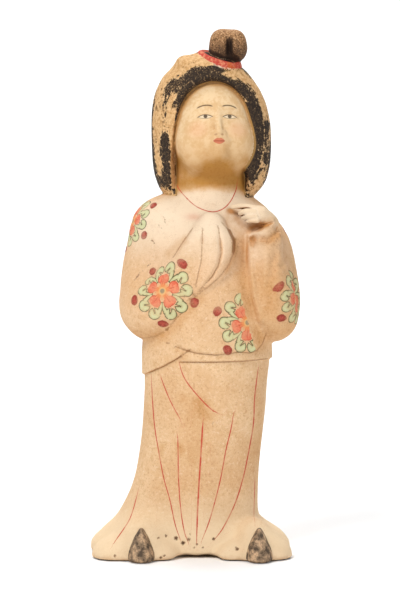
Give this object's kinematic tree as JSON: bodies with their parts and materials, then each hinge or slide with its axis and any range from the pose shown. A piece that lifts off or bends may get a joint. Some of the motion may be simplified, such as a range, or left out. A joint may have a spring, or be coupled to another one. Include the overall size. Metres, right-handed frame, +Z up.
{
  "type": "painted pottery court lady figure",
  "caption": "Standing pottery figure of a stout court lady in a long dress with wide sleeves, bouffant hair with a bun, and upturned shoes; a decorative statuette that stands on its flat base.",
  "frame": {"origin": "middle of the figure's bounding box in plan, on the ground under its hem", "axes": "+Z up along the figure's height, the figure faces -Y, and its raised hand is towards +X"},
  "size_m": [0.1647, 0.1159, 0.4104],
  "materials": {
    "painted_clay": "matte unglazed earthenware, cold painted and worn"
  },
  "bodies": {
    "root": {"court_lady_figure": "painted_clay"}
  },
  "joints": []
}
